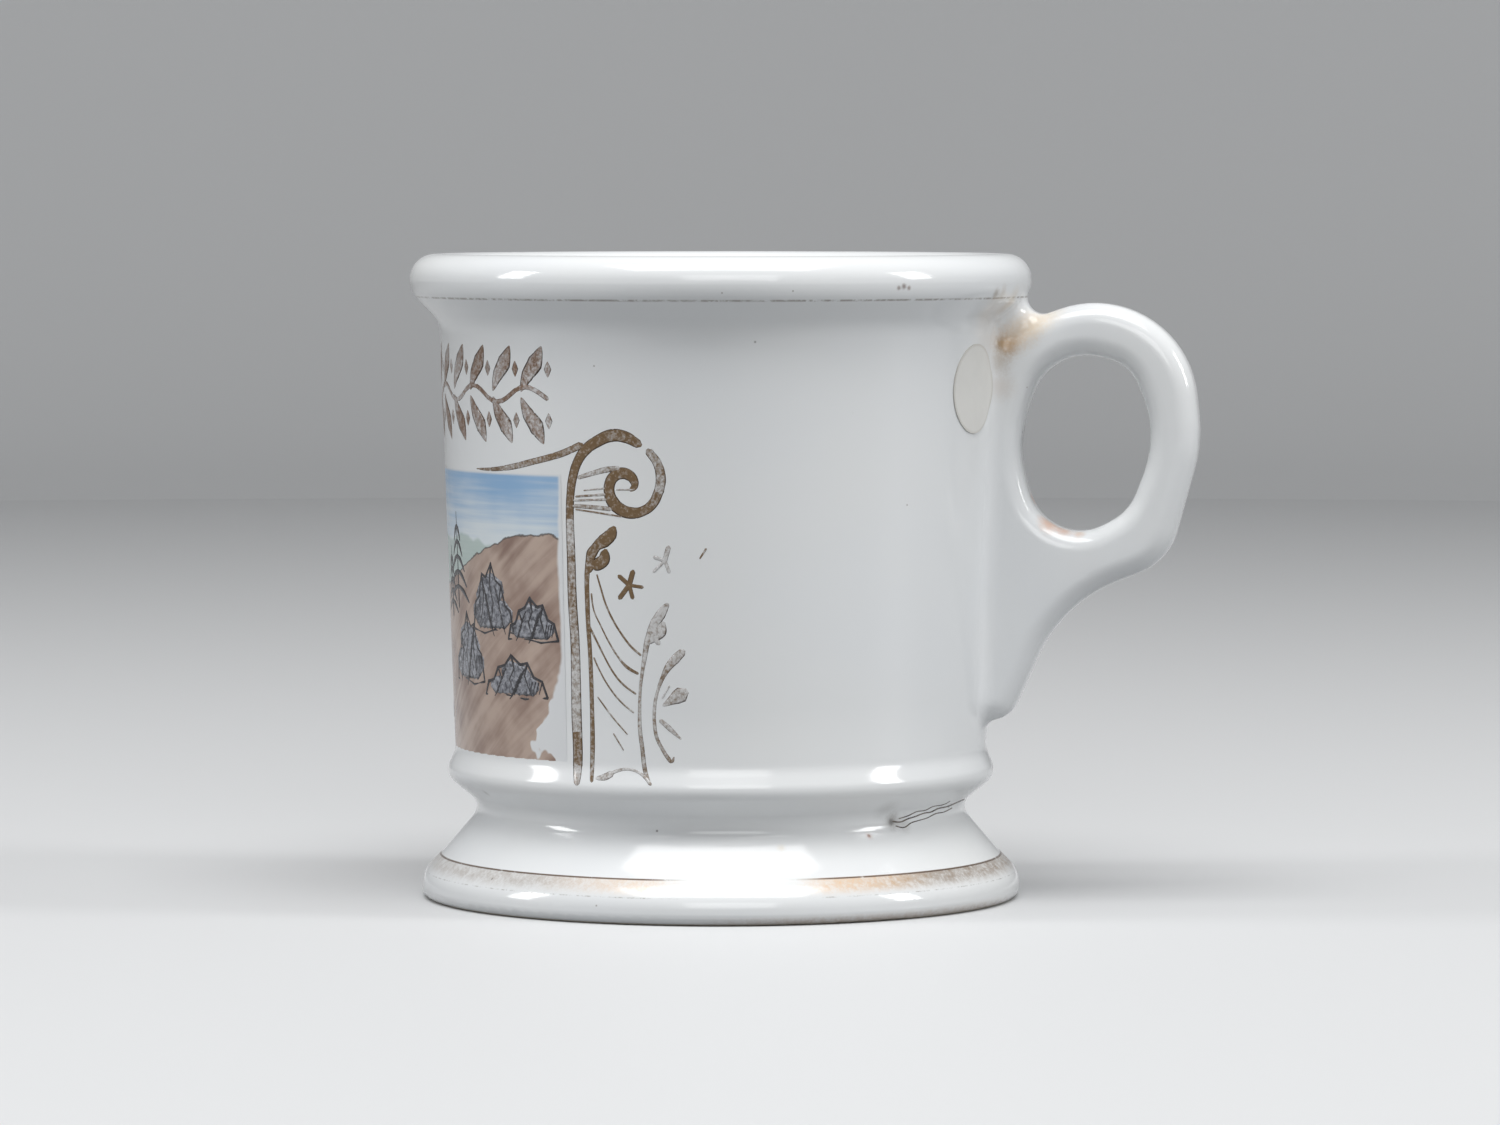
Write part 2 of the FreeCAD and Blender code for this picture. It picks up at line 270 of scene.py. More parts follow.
# %% Projector and chart
CANVAS_MIDDLE = -100.0
CHART_RADIUS = 39.5 * MM
CHART_REACH = 0.08

mug = frame["nodes"]["mug"]
mug_surface = BVHTree.FromPolygons([point.co for point in mug.data.vertices],
                                   [face.vertices for face in mug.data.polygons])
view_turn = camera.rotation_euler.to_matrix()


def seen_at(across, down):
    """Spot on the mug at a pixel of the photograph, and the way out of the surface there."""
    ray = view_turn @ Vector((across - PHOTO_WIDE / 2, PHOTO_HIGH / 2 - down, -FOCAL_PIXELS))
    ray.normalize()
    spot, out = mug_surface.ray_cast(camera.location, ray)[:2]
    if spot is None:
        beside = camera.location + ray * CAMERA_DISTANCE
        spot, out = mug_surface.find_nearest(beside)[:2]
    return spot, out


def mirrored(arrow):
    """The same arrow on the other side of the decoration's middle."""
    side = around(CANVAS_MIDDLE + 90.0, 1.0)
    return arrow - 2 * arrow.dot(side) * side


def from_photo(across, down, lift):
    """Lay a point of a drawing in photo pixels on the mug."""
    spot, out = seen_at(across, down)
    return spot + out * lift


def from_photo_mirrored(across, down, lift):
    """The same point on the hidden side of the mug."""
    return mirrored(from_photo(across, down, lift))


def from_chart(along_mm, up_mm, lift):
    """Lay a point of a chart in millimetres on the mug."""
    angle = CANVAS_MIDDLE + math.degrees(along_mm * MM / CHART_RADIUS)
    start = around(angle, CHART_REACH, up_mm * MM)
    spot, out = mug_surface.ray_cast(start, around(angle, -1.0))[:2]
    return spot + out * lift


for name, pixel in {"volute's top": (617, 435), "panel's corner": (548, 474)}.items():
    print("the", name, "lies", round(seen_at(*pixel)[0].z / MM, 1), "mm over the table")

# %% [markdown]
# ## Brush strokes
# Gilding and enamel are laid on the fired glaze with a brush, so every line is a stroke with a
# changing width, slightly domed and sunk at its edges. Each stroke is a Bezier curve through a few
# given points, with the width as each point's radius. It becomes a mesh tube, which is then
# pressed flat on the mug: only a few hundredths of a millimetre stand proud. Two values go with each
# vertex for the finish: how far up the dome it is, and how worn its stroke is.

# %% Brush strokes
STROKE_LIFT = 0.05 * MM
TUBE_SIDES = 8
CURVE_STEPS = 6
TIP_REACH = 0.45
TIP_WIDTH = 0.3


def brush_stroke(points, lay, worn=0.0, lift=STROKE_LIFT, bend="AUTO"):
    """One stroke through (across, up or down, width) points, laid on the mug by lay.

    It bends softly at its points, or at an angle where bend is VECTOR.
    """
    first, second = Vector(points[0][:2]), Vector(points[1][:2])
    last, before = Vector(points[-1][:2]), Vector(points[-2][:2])
    tip = first + (first - second).normalized() * points[0][2] * TIP_REACH
    end = last + (last - before).normalized() * points[-1][2] * TIP_REACH
    knots = [(*tip, points[0][2] * TIP_WIDTH), *points, (*end, points[-1][2] * TIP_WIDTH)]
    choose()
    bpy.ops.curve.primitive_bezier_curve_add(location=(0.0, 0.0, 0.0))
    path = bpy.context.object
    spline = path.data.splines[0]
    spline.bezier_points.add(len(knots) - 2)
    for knot, (across, up, width) in zip(spline.bezier_points, knots):
        knot.co = (across, up, 0.0)
        knot.radius = width / 2
        knot.handle_left_type = bend
        knot.handle_right_type = bend
    path.data.resolution_u = CURVE_STEPS
    path.data.bevel_depth = 1.0
    path.data.bevel_resolution = TUBE_SIDES // 2 - 2
    path.data.use_fill_caps = True
    bpy.ops.object.convert(target="MESH")
    stroke = bpy.context.object
    places = [point.co.copy() for point in stroke.data.vertices]
    half = max(width for across, up, width in knots) / 2
    film = []
    for index, (across, up, proud) in enumerate(places):
        ring = index - index % TUBE_SIDES
        radius = max(place.z for place in places[ring:ring + TUBE_SIDES])
        film.append(max(proud, 0.0) / max(radius, 1e-9))
        stroke.data.vertices[index].co = lay(across, up, lift * proud / half)
    for name, values in (("film", film), ("worn", [worn] * len(film))):
        stroke.data.attributes.new(name, "FLOAT", "POINT").data.foreach_set("value", values)
    return stroke


def one_piece(name, strokes, material):
    """Join strokes into one smooth piece that rides with the mug."""
    choose(*strokes)
    bpy.ops.object.join()
    piece = bpy.context.object
    piece.name = name
    dress(piece, material)
    bpy.ops.object.mode_set(mode="EDIT")
    bpy.ops.mesh.select_all(action="SELECT")
    bpy.ops.mesh.normals_make_consistent(inside=False)
    bpy.ops.object.mode_set(mode="OBJECT")
    bpy.ops.object.shade_smooth()
    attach(piece, "root")
    print(name, "has", len(strokes), "strokes and", len(piece.data.polygons), "faces")


# %% [markdown]
# ## Worn gilding
# This was bright burnished gold. A hundred years of washing have left a brown film, darker along the
# edges of each stroke where the gold lay thickest, with the white glaze showing through in speckles a
# few tenths of a millimetre wide. Little metal is left, so it has a soft sheen and no mirror. The
# speckles spread as a stroke's own wear grows.

# %% Worn gilding
GLAZE_WHITE = "#E6E8EA"
SPECKLE_PER_MM = 1.9
PATCH_PER_MM = 0.16


def gilding_material(name, dark, light, edge_colour):
    """Brown worn gold film on white glaze."""
    material, tree = new_tree(name)
    in_mm = object_mm(tree)
    film = node(tree, "Attribute", {"attribute_name": "film"})
    worn = node(tree, "Attribute", {"attribute_name": "worn"})
    patches = node(tree, "TexNoise", Vector=in_mm, Scale=PATCH_PER_MM, Detail=3.0)
    speckle = node(tree, "TexNoise", Vector=in_mm, Scale=SPECKLE_PER_MM, Detail=5.0, Roughness=0.68)
    tone = node(tree, "Mix", RGBA, Factor=speckle.outputs["Fac"], A=paint(dark), B=paint(light))
    edge = node(tree, "MapRange", SMOOTH, Value=film.outputs["Fac"], From_Min=0.1, From_Max=0.72,
                To_Min=1.0, To_Max=0.0)
    edged = node(tree, "Mix", RGBA, Factor=edge, A=tone, B=paint(edge_colour))
    rubbed = node(tree, "MapRange", Value=patches.outputs["Fac"], From_Min=0.35, From_Max=0.65,
                  To_Min=0.80, To_Max=0.62)
    level = node(tree, "Math", MULTIPLY_ADD, _0=worn.outputs["Fac"], _1=-0.30, _2=rubbed)
    over = node(tree, "Math", {"operation": "SUBTRACT"}, _0=speckle.outputs["Fac"], _1=level)
    loss = node(tree, "MapRange", SMOOTH, Value=over, From_Min=-0.17, From_Max=0.22, To_Max=0.76)
    held = node(tree, "Math", {"operation": "MULTIPLY_ADD", "use_clamp": True}, _0=edge, _1=-0.45,
                _2=loss)
    colour = node(tree, "Mix", RGBA, Factor=held, A=edged, B=paint(GLAZE_WHITE))
    gloss = node(tree, "MapRange", Value=held, To_Min=0.34, To_Max=0.12)
    metal = node(tree, "MapRange", Value=held, To_Min=0.2, To_Max=0.0)
    shader = node(tree, "BsdfPrincipled", Base_Color=colour, Roughness=gloss, Metallic=metal)
    node(tree, "OutputMaterial", Surface=shader)
    return material


gilding = gilding_material("worn burnished gold film", "#57402A", "#8F7552", "#3E2D1C")
print("speckles about", round(1 / SPECKLE_PER_MM, 2), "mm wide")

# %% [markdown]
# ## Gilt scroll
# The right end of the decoration is a traditional frame: a volute on a tall stem, a thin second rule
# with two leaves, draped threads, small stars and a palmette. The points follow the photograph, in
# its pixels, with each stroke's width in pixels too. The number before them is the stroke's wear. The
# left end is hidden in the photograph. Such frames are symmetric, so it is the mirror image.

# %% Gilt scroll
SCROLL = [
    # stem, bend and first half of the volute
    (0.15, [(638, 444, 9), (625, 437, 12), (612, 435.5, 13), (598, 441, 12), (586, 449.5, 11),
            (578, 461, 9.5), (573, 476, 9), (570.3, 497, 8), (569.8, 520, 8)]),
    (0.80, [(569.8, 520, 8), (571, 553, 8.5), (572.4, 600, 9), (575, 642, 9.2), (576, 681, 9.8),
            (576.8, 721, 10.3), (577.6, 738, 9.8)]),
    (0.30, [(577.2, 732, 9.8), (577.9, 750, 9.8), (577.8, 766, 9.4)]),
    (0.95, [(577.8, 764, 9.2), (577.4, 774, 8), (576.8, 783, 6)]),
    # second half of the volute, down and round into its eye
    (0.75, [(649, 452, 8), (657, 463, 9), (660.8, 478, 10.3), (659, 492, 10)]),
    (0.15, [(659.4, 490, 10), (652.6, 504, 10), (642, 511.5, 10), (631, 513, 12),
            (620.5, 509.5, 12.5), (612.8, 502, 12.5), (609.4, 493, 11), (609.6, 484.5, 11),
            (613.5, 477, 11.5), (621, 473.3, 12), (629, 475.3, 11), (634, 481, 9),
            (634.4, 486.5, 7), (631.5, 489.6, 5)]),
    # flourish that joins the stem from the left
    (0.75, [(477, 468.6, 1), (492, 469.2, 4), (512, 466.8, 6), (530, 462.4, 6.5),
            (545, 458.6, 6.5)]),
    (0.45, [(543, 459.2, 6.5), (562, 453.5, 7), (580, 445.5, 7.5)]),
    # hatching between stem and volute
    (0.9, [(579, 477.5, 4), (592, 473.5, 5), (606, 469.8, 6), (618, 468.4, 5)]),
    (0.9, [(584, 490.5, 1.4), (604, 488.5, 1.8)]),
    (0.9, [(576, 496.5, 2.2), (605, 494.6, 2.6)]),
    (0.9, [(574, 500.4, 2.2), (606, 499.6, 2.6)]),
    (0.9, [(574.5, 506, 4), (592, 507.2, 4.2), (610, 509, 4.5)]),
    (0.5, [(576, 509.5, 1.6), (598, 512.8, 1.8), (621, 516.6, 1.8)]),
    (0.9, [(616.5, 489.8, 1.4), (632, 489.8, 1.8)]),
    # thin rule with its leaf, one body with a waist
    (0.2, [(613, 530, 9), (610.5, 535, 13), (604, 541, 14), (597, 546, 10), (593, 552, 8)]),
    (0.2, [(605, 553, 9), (603.5, 560, 13), (597.5, 564.5, 13), (591.5, 566, 9),
            (588.5, 571, 6)]),
    (0.35, [(597, 546, 9), (592, 553, 11), (590, 560, 9), (587.6, 569, 5.5), (586.9, 581, 4.8),
            (587.3, 600, 4.8), (588.2, 625, 4.4), (589.6, 645, 4.2), (590.8, 668, 4.2),
            (592, 708, 4.2), (592.6, 747, 4.8), (591.6, 781, 3.4)]),
    # draped threads
    (0.2, [(597, 575, 1.6), (601.2, 589.7, 1.8), (605.8, 604.4, 1.8), (612.3, 618.8, 1.9),
           (622.7, 635.8, 2), (631.9, 647.5, 2.2), (640.5, 655, 2.2)]),
    (0.4, [(591.4, 594, 1.8), (594, 610.9, 1.4), (600.5, 625.3, 1.4), (609.7, 643.6, 1.6),
           (618.8, 658, 1.9), (627.5, 667.5, 3.2), (637.5, 673.5, 2.8)]),
    (0.4, [(589.4, 626.6, 2.4), (596.6, 641, 1.9), (604.4, 656.7, 1.6), (612.3, 671, 1.8),
           (622.7, 684.1, 2), (635.5, 693.8, 1.9)]),
    (0.5, [(594, 658, 1.8), (599.2, 669.7, 1.4), (609.7, 688, 1.6), (621.4, 702.4, 1.6),
           (633.5, 712.7, 1.5)]),
    (0.6, [(597.9, 697.2, 1.2), (612.3, 716.8, 1.6), (627.3, 734.4, 1.1)]),
    (0.6, [(613.6, 733.8, 1.4), (623.4, 750.1, 1.1)]),
    # second stem with its leaf
    (1.0, [(667, 605, 5), (664, 609.5, 8), (660.5, 615, 10), (655, 623, 9.5), (650.6, 632, 8)]),
    (1.0, [(662.5, 625, 8), (660, 631, 14), (654, 636, 13), (648.5, 641, 8)]),
    (0.7, [(650.6, 632, 7.5), (647, 643, 6), (645, 655, 5), (642.6, 670, 3.6), (640.3, 690, 2.8),
           (639.6, 712, 3.4), (640, 730, 4), (642.4, 749, 4.2), (645.2, 771, 4.4),
           (649.5, 784, 3)]),
    (1.0, [(656, 640, 5), (658.3, 643, 5)]),
    # palmette
    (0.85, [(682, 652.5, 8), (675.5, 659, 9.5), (668.5, 667, 7.5), (663, 677, 4.5),
            (658, 690, 3), (654.8, 705, 3.4), (654.2, 721, 3.4)]),
    (0.5, [(654.2, 720, 3.4), (656.3, 736, 3.4), (662, 748.5, 3.4), (668.5, 758.6, 4),
           (671.5, 761.5, 3.5), (674, 757.5, 1.6)]),
    (0.9, [(663.5, 705.5, 2.5), (670, 701.5, 8), (676.5, 697.5, 14), (681.5, 694.5, 16)]),
    (1.0, [(662.5, 698, 1.6), (669.5, 686, 1.4)]),
    (0.9, [(660.8, 720.8, 4), (669, 728, 5), (675, 733.7, 3.6), (681, 739.2, 1.4)]),
    # arch at the foot
    (1.0, [(597.5, 778.3, 4), (605, 777, 7), (611, 774, 6.5)]),
    (0.9, [(611, 773.5, 3.4), (618, 770.6, 3.4), (628, 769.3, 2.6), (638.4, 772.4, 2.6),
           (645, 777.5, 3.4), (650.5, 784.5, 3)]),
    # worn tick of a lost third star
    (0.6, [(700, 558.3, 1.6), (706, 549, 2.2)]),
]
STARS = [
    (0.1, (629.2, 585.2), [(632.7, 572.2, 5.4), (642, 587.2, 3.6), (632.5, 597.6, 4.2),
                           (620, 597.6, 5), (619.4, 576.4, 4.4)]),
    (1.0, (664.8, 560.8), [(668.3, 547.8, 5), (669, 572, 3.4), (654, 571.6, 3), (654.6, 557.4, 3.6)]),
]


def scroll_strokes(lay):
    """All the strokes of the scroll and its stars."""
    strokes = [brush_stroke(points, lay, worn) for worn, points in SCROLL]
    for worn, (across, down), arms in STARS:
        for tip_across, tip_down, width in arms:
            arm = [(across, down, width), (tip_across, tip_down, width)]
            strokes.append(brush_stroke(arm, lay, worn))
    return strokes


one_piece("gilt_scroll", scroll_strokes(from_photo), gilding)
one_piece("gilt_scroll_far", scroll_strokes(from_photo_mirrored), gilding)

# %% [markdown]
# ## Leaf garland
# Over the panel, between the two scrolls, such a mug carries a bold line of gilding. Here it is a
# plain garland: a waving stem, pointed leaves in pairs that lean out from the middle, and small
# lozenges over and under the stem. The strokes are as heavy as the rest of the brushwork.

# %% Leaf garland
GARLAND_HALF = 43.5
GARLAND_UP = 73.2
GARLAND_WAVE = 1.1
LEAF_PAIRS = 7
LEAF_STEP = 6.1
LEAF_LEAN = 3.9
LEAF_TALL = 6.9
LEAF_WIDE = 2.7


def garland_strokes():
    """Stem, leaves and lozenges, on the chart in millimetres."""
    strokes = []
    for side in (-1, 1):
        stem = [(side * x, GARLAND_UP + GARLAND_WAVE * math.sin(x * math.pi / LEAF_STEP), 0.7)
                for x in (0.0, *(LEAF_STEP * (n + 0.5) for n in range(LEAF_PAIRS)), GARLAND_HALF)]
        strokes.append(brush_stroke(stem, from_chart, 0.55))
        for pair in range(LEAF_PAIRS):
            root = LEAF_STEP * (pair + 0.35)
            for way in (-1, 1):
                leaf = [(side * (root + LEAF_LEAN * t), GARLAND_UP + way * LEAF_TALL * s, w)
                        for t, s, w in ((0.0, 0.08, 0.4), (0.30, 0.38, 0.8 * LEAF_WIDE),
                                        (0.72, 0.66, LEAF_WIDE), (1.0, 0.96, 0.5))]
                strokes.append(brush_stroke(leaf, from_chart, 0.25 + 0.09 * pair))
                drop = side * (root + 0.5 * (LEAF_LEAN + LEAF_STEP))
                lozenge = [(drop, GARLAND_UP + way * 2.6, 0.25), (drop, GARLAND_UP + way * 3.6, 1.3),
                           (drop, GARLAND_UP + way * 4.6, 0.25)]
                strokes.append(brush_stroke(lozenge, from_chart, 0.6))
    return strokes


garland_gilding = gilding_material("worn red-brown gold film", "#574334", "#97745A", "#382B22")
one_piece("gilt_garland", garland_strokes(), garland_gilding)

# %% [markdown]
# ## Painted panel
# Under the garland a landscape in thin enamel fills the wall from scroll to scroll. The real paint is
# a film on the glaze, so the panel is a fine grid wrapped two hundredths of a millimetre over the
# wall. It is laid on the true cone of the wall, not on its facets, so its gloss stays even. Its UV map
# runs along and up the wall, and a Mapping node turns it into the chart's millimetres.

# %% Panel grid
WALL_LOW = 21.3 * MM
WALL_HIGH = 82.9 * MM
WALL_RADIUS = 38.3 * MM
WALL_FLARE = 2.2 * MM
PANEL_HALF = 45.6
PANEL_LOW = 21.4
PANEL_HIGH = 62.2
PANEL_LIFT = 0.02 * MM
PANEL_COLUMNS = 144
PANEL_ROWS = 24


def on_panel(along_mm, up_mm, lift=0.0):
    """Lay a point of the chart on the panel's film of enamel."""
    height = up_mm * MM
    radius = WALL_RADIUS + WALL_FLARE * (height - WALL_LOW) / (WALL_HIGH - WALL_LOW)
    angle = CANVAS_MIDDLE + math.degrees(along_mm * MM / CHART_RADIUS)
    return around(angle, radius + PANEL_LIFT + lift, height)


choose()
bpy.ops.mesh.primitive_grid_add(x_subdivisions=PANEL_COLUMNS, y_subdivisions=PANEL_ROWS, size=1.0,
                                calc_uvs=True)
panel = bpy.context.object
panel.name = "painted_panel"
panel.data.uv_layers[0].name = "panel"
for point in panel.data.vertices:
    point.co = on_panel(point.co.x * 2 * PANEL_HALF,
                        PANEL_LOW + (point.co.y + 0.5) * (PANEL_HIGH - PANEL_LOW))
bpy.ops.object.shade_smooth()
print("panel", round(2 * PANEL_HALF), "by", round(PANEL_HIGH - PANEL_LOW), "mm,",
      len(panel.data.polygons), "faces")

# %% [markdown]
# ## Enamel landscape
# The painter washed the sky in level strokes, strong blue at the top and nearly white over the land,
# and scrubbed the brown slopes in with slanting strokes of a stiff brush. Both are noise that is
# stretched along the stroke. A slow wave gives the skyline, with a thin dark line along it. Towards
# the foot and the ends the paint is ragged, and the glaze shows beyond it.

# %% Enamel landscape
SKYLINE = 48.6
SKYLINE_SWING = 4.2
SKYLINE_WAVE = 66.0
SKYLINE_CREST = 41.0
HILLS_RISE = 3.6


def landscape_material():
    """Thin enamel washes on glaze, read in chart millimetres."""
    material, tree = new_tree("thin overglaze enamel wash")
    flat = node(tree, "UVMap", {"uv_map": "panel"})
    chart = node(tree, "Mapping", Vector=flat, Location=(-PANEL_HALF, PANEL_LOW, 0.0),
                 Scale=(2 * PANEL_HALF, PANEL_HIGH - PANEL_LOW, 1.0))
    split = node(tree, "SeparateXYZ", Vector=chart)
    along, up = split.outputs["X"], split.outputs["Y"]
    ragged = node(tree, "TexNoise", Vector=chart, Scale=0.45, Detail=4.0)
    # sky, in level strokes
    level = node(tree, "Mapping", Vector=chart, Scale=(0.05, 1.2, 1.0))
    level_strokes = node(tree, "TexNoise", Vector=level, Scale=1.0, Detail=4.0)
    cloud = node(tree, "TexNoise", Vector=chart, Scale=0.09, Detail=2.0)
    height = node(tree, "MapRange", {"clamp": False}, Value=up, From_Min=PANEL_HIGH, From_Max=50.0)
    stroked = node(tree, "Math", MULTIPLY_ADD, _0=level_strokes, _1=0.9, _2=height)
    clouded = node(tree, "Math", MULTIPLY_ADD, _0=cloud, _1=0.8, _2=stroked)
    fade = node(tree, "MapRange", SMOOTH, Value=clouded, From_Min=0.75, From_Max=1.85)
    sky = node(tree, "Mix", RGBA, Factor=fade, A=paint("#8FB6DC"), B=paint("#E0E9EE"))
    # far hills, low and pale
    hill_noise = node(tree, "TexNoise", {"noise_dimensions": "1D"}, W=along, Scale=0.07, Detail=3.0)
    hill_top = node(tree, "Math", MULTIPLY_ADD, _0=hill_noise, _1=2 * HILLS_RISE, _2=SKYLINE)
    hill_depth = node(tree, "Math", {"operation": "SUBTRACT"}, _0=hill_top, _1=up)
    hill = node(tree, "MapRange", SMOOTH, Value=hill_depth, From_Min=-0.2, From_Max=0.5,
                To_Max=0.75)
    hill_tone = node(tree, "Mix", RGBA, Factor=level_strokes, A=paint("#8FA9A0"),
                     B=paint("#C3D3CB"))
    with_hills = node(tree, "Mix", RGBA, Factor=hill, A=sky, B=hill_tone)
    # brown slopes, in slanting strokes
    phase = node(tree, "Math", MULTIPLY_ADD, _0=along, _1=math.tau / SKYLINE_WAVE,
                 _2=-SKYLINE_CREST * math.tau / SKYLINE_WAVE)
    wave = node(tree, "Math", {"operation": "COSINE"}, _0=phase)
    crest = node(tree, "Math", MULTIPLY_ADD, _0=wave, _1=SKYLINE_SWING, _2=SKYLINE)
    rough_crest = node(tree, "Math", MULTIPLY_ADD, _0=ragged, _1=1.6, _2=crest)
    depth = node(tree, "Math", {"operation": "SUBTRACT"}, _0=rough_crest, _1=up)
    land = node(tree, "MapRange", Value=depth, From_Min=-0.08, From_Max=0.08)
    slant = node(tree, "Mapping", Vector=chart, Rotation=(0.0, 0.0, math.radians(-38)))
    slant_thin = node(tree, "Mapping", Vector=slant, Scale=(0.05, 0.5, 1.0))
    scrub = node(tree, "TexNoise", Vector=slant_thin, Scale=1.0, Detail=6.0, Distortion=0.5)
    blots = node(tree, "TexNoise", Vector=slant, Scale=0.13, Detail=3.0)
    dabs = node(tree, "Math", MULTIPLY_ADD, _0=blots, _1=1.1, _2=scrub)
    tone = node(tree, "MapRange", SMOOTH, Value=dabs, From_Min=0.70, From_Max=1.30)
    slope = node(tree, "Mix", RGBA, Factor=tone, A=paint("#8A6F62"), B=paint("#BFA99B"))
    with_land = node(tree, "Mix", RGBA, Factor=land, A=with_hills, B=slope)
    off_line = node(tree, "Math", {"operation": "ABSOLUTE"}, _0=depth)
    line = node(tree, "MapRange", Value=off_line, From_Min=0.06, From_Max=0.2, To_Min=0.8,
                To_Max=0.0)
    picture = node(tree, "Mix", RGBA, Factor=line, A=with_land, B=paint("#3B322D"))
    # painted as far as the ends and the foot, more raggedly low down
    low = node(tree, "MapRange", SMOOTH, Value=up, From_Min=25.0, From_Max=37.0, To_Min=7.0,
               To_Max=0.5)
    bite = node(tree, "MapRange", Value=blots, From_Min=0.36, From_Max=0.66)
    end_loss = node(tree, "Math", MULTIPLY, _0=bite, _1=low)
    from_middle = node(tree, "Math", {"operation": "ABSOLUTE"}, _0=along)
    reach = node(tree, "Math", {"operation": "ADD"}, _0=from_middle, _1=end_loss)
    ends = node(tree, "MapRange", SMOOTH, Value=reach, From_Min=PANEL_HALF - 0.7,
                From_Max=PANEL_HALF - 0.1, To_Min=1.0, To_Max=0.0)
    foot_loss = node(tree, "Math", MULTIPLY_ADD, _0=bite, _1=-0.5, _2=up)
    foot = node(tree, "MapRange", SMOOTH, Value=foot_loss, From_Min=PANEL_LOW,
                From_Max=PANEL_LOW + 0.4)
    top = node(tree, "MapRange", SMOOTH, Value=up, From_Min=PANEL_HIGH - 0.5,
               From_Max=PANEL_HIGH - 0.05, To_Min=1.0, To_Max=0.0)
    sides = node(tree, "Math", MULTIPLY, _0=ends, _1=foot)
    painted = node(tree, "Math", MULTIPLY, _0=sides, _1=top)
    colour = node(tree, "Mix", RGBA, Factor=painted, A=paint(GLAZE_WHITE), B=picture)
    gloss = node(tree, "MapRange", Value=painted, To_Min=0.08, To_Max=0.2)
    shader = node(tree, "BsdfPrincipled", Base_Color=colour, Roughness=gloss)
    node(tree, "OutputMaterial", Surface=shader)
    return material


dress(panel, landscape_material())
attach(panel, "root")
print("skyline between", SKYLINE - SKYLINE_SWING, "and", SKYLINE + SKYLINE_SWING, "mm")

# %% [markdown]
# ## Rocks and trees
# The painter set the darkest accents last, wet grey dabs with black contours and quick hatching.
# They are the same brush strokes again, laid on the panel's film: two broad dabs for a rock's body, a
# jagged contour over them and hatches inside, and for a fir a trunk with drooping pairs of branches.
# A rock is its place along and up the chart, its width and its height, and a negative width turns it
# round. A fir is its place and its height.

# %% Rocks and trees
ROCKS = [(39.6, 41.6, -8.8, 6.0), (30.4, 44.2, 9.4, 9.6), (35.4, 33.4, -12.4, 5.8),
         (22.6, 36.8, -9.6, 9.8), (-9.0, 31.5, 12.6, 5.6), (-31.0, 37.0, -12.6, 7.6),
         (-39.5, 31.2, 9.4, 4.8), (5.0, 27.8, -7.4, 3.6)]
FIRS = [(19.0, 42.5, 13.5), (15.0, 41.0, 10.0), (-17.5, 43.0, 12.0), (-21.5, 41.5, 9.5),
        (-13.2, 43.0, 8.6)]
ROCK_LIFT = 0.02 * MM
CONTOUR_LIFT = 0.045 * MM


def enamel(name, dark, light):
    """Opaque enamel from a small brush, in fine streaks."""
    material, tree = new_tree(name)
    in_mm = object_mm(tree)
    hairs = node(tree, "TexNoise", Vector=in_mm, Scale=1.3, Detail=4.0, Distortion=0.8)
    streaks = node(tree, "MapRange", Value=hairs, From_Min=0.36, From_Max=0.64)
    colour = node(tree, "Mix", RGBA, Factor=streaks, A=paint(dark), B=paint(light))
    shader = node(tree, "BsdfPrincipled", Base_Color=colour, Roughness=0.25)
    node(tree, "OutputMaterial", Surface=shader)
    return material


def rock_dabs(along, up, wide, tall):
    """The two broad grey dabs of a rock."""
    return [[(along - 0.33 * wide, up - 0.20 * tall, 0.50 * tall),
             (along + 0.36 * wide, up - 0.22 * tall, 0.44 * tall)],
            [(along - 0.20 * wide, up + 0.04 * tall, 0.52 * tall),
             (along + 0.10 * wide, up + 0.12 * tall, 0.56 * tall)]]


def rock_lines(along, up, wide, tall):
    """Jagged contour, edges and shadow hatching of a rock."""
    contour = [(0.57, -0.47, 0.35), (0.50, -0.16, 0.55), (0.38, -0.10, 0.45), (0.29, 0.20, 0.5),
               (0.15, 0.27, 0.45), (0.03, 0.52, 0.6), (-0.13, 0.31, 0.5), (-0.25, 0.36, 0.5),
               (-0.35, 0.02, 0.5), (-0.48, -0.07, 0.45), (-0.56, -0.46, 0.45)]
    ridge = [(0.03, 0.52, 0.5), (-0.02, 0.20, 0.4), (0.07, -0.06, 0.35), (-0.02, -0.44, 0.2)]
    edge = [(0.29, 0.20, 0.4), (0.22, -0.06, 0.35), (0.34, -0.42, 0.2)]
    cleft = [(-0.25, 0.36, 0.4), (-0.20, 0.04, 0.4), (-0.30, -0.40, 0.2)]
    foot = [(-0.56, -0.46, 0.4), (-0.20, -0.52, 0.35), (0.10, -0.45, 0.3), (0.57, -0.48, 0.35)]
    lines = [contour, ridge, edge, cleft, foot]
    for number in range(6):
        x = -0.17 + 0.033 * number
        y = 0.22 - 0.105 * number
        lines.append([(x - 0.05, y, 0.34), (x - 0.01, y - 0.07, 0.34), (x + 0.08, y - 0.24, 0.16)])
        lines.append([(x + 0.30, y - 0.04, 0.30), (x + 0.38, y - 0.20, 0.14)])
    for number in range(4):
        x = -0.48 + 0.05 * number
        lines.append([(x, -0.10, 0.28), (x + 0.05, -0.38, 0.16)])
    return [[(along + x * wide, up + y * tall, w) for x, y, w in line] for line in lines]


